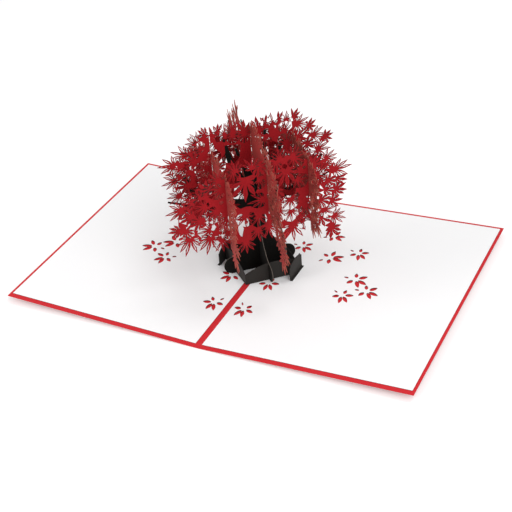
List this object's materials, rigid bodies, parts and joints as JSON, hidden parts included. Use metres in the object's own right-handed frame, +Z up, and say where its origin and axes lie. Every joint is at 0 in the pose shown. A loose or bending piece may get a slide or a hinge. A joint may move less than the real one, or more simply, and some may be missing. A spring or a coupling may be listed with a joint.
{
  "type": "pop up card",
  "caption": "Folded red card opened flat with white liners and leaf cut-outs, and a pop-up maple tree of slotted red and black card standing on the fold.",
  "frame": {"origin": "middle of the fold, on the surface that the card stands on", "axes": "+X across the right page, +Y along the fold away from the reader, +Z up through the tree"},
  "size_m": [0.2998, 0.2, 0.122],
  "materials": {
    "cover_red": "matte coloured card, cut edges a little lighter",
    "liner_white": "matte, smooth white card",
    "card_black": "matte, warm black card",
    "leaf_red": "matte, deep red card, cut edges lighter"
  },
  "bodies": {
    "root": {"cover": "cover_red", "liner_right": "liner_white", "liner_left": "liner_white", "base_strip_front": "card_black", "base_strip_back": "card_black", "page_tab_right": "card_black", "page_tab_left": "card_black", "trunk_card_centre": "card_black", "trunk_card_cross": "card_black", "crown_sheet_front": "leaf_red", "crown_sheet_back": "leaf_red", "crown_sheet_left": "leaf_red", "crown_sheet_right": "leaf_red", "crown_half_centre_left": "leaf_red", "crown_half_centre_right": "leaf_red", "crown_half_cross_back": "leaf_red", "crown_half_cross_front": "leaf_red"}
  },
  "joints": []
}
